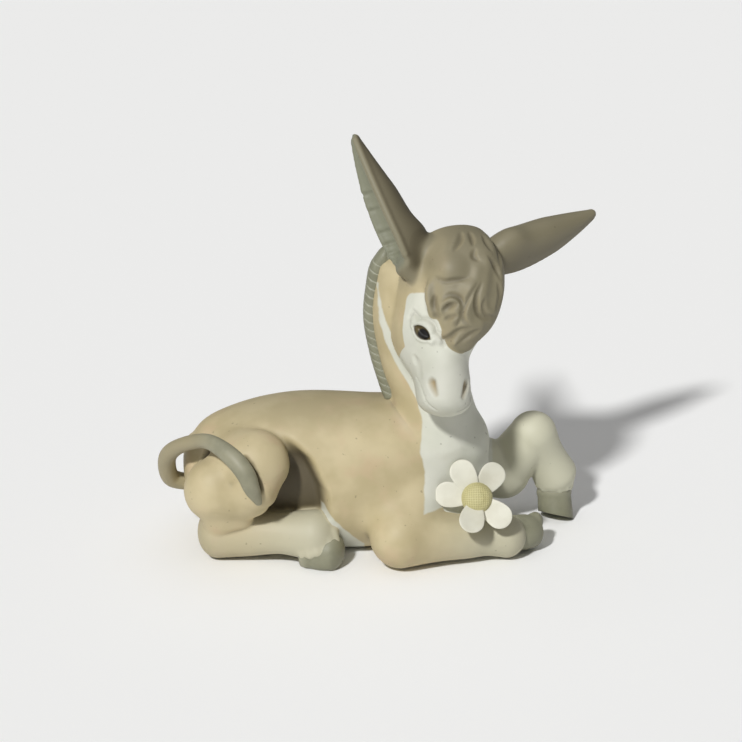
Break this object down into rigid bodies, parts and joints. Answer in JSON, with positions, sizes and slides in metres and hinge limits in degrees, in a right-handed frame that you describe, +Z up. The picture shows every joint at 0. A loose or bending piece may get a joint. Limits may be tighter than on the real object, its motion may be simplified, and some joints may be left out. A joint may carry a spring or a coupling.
{
  "type": "donkey figurine",
  "caption": "Matte porcelain donkey foal lying down with one foreleg raised and head turned to a daisy, a figurine for a shelf.",
  "frame": {"origin": "middle of the flat ground under the belly, where the figurine rests", "axes": "+X from rump to breast, +Y to the foal's left, +Z up"},
  "size_m": [0.1516, 0.0728, 0.1466],
  "materials": {
    "fawn_bisque": "matte fawn stain on unglazed porcelain",
    "white_bisque": "matte white unglazed porcelain",
    "grey_bisque": "matte grey stain on unglazed porcelain",
    "brown_bisque": "matte brown stain on unglazed porcelain",
    "yellow_bisque": "matte yellow stain on unglazed porcelain"
  },
  "bodies": {
    "root": {"trunk": "fawn_bisque", "neck": "fawn_bisque", "right_haunch": "fawn_bisque", "left_haunch": "fawn_bisque", "right_foreleg": "fawn_bisque", "head": "white_bisque", "left_foreleg": "white_bisque", "right_hind_shank": "white_bisque", "left_hind_shank": "white_bisque", "mane": "grey_bisque", "tail": "grey_bisque", "right_fore_hoof": "grey_bisque", "left_fore_hoof": "grey_bisque", "right_hind_hoof": "grey_bisque", "left_hind_hoof": "grey_bisque", "forelock": "brown_bisque", "right_ear": "brown_bisque", "left_ear": "brown_bisque", "daisy_eye": "yellow_bisque", "petal_1": "white_bisque", "petal_2": "white_bisque", "petal_3": "white_bisque", "petal_4": "white_bisque", "petal_5": "white_bisque"}
  },
  "joints": []
}
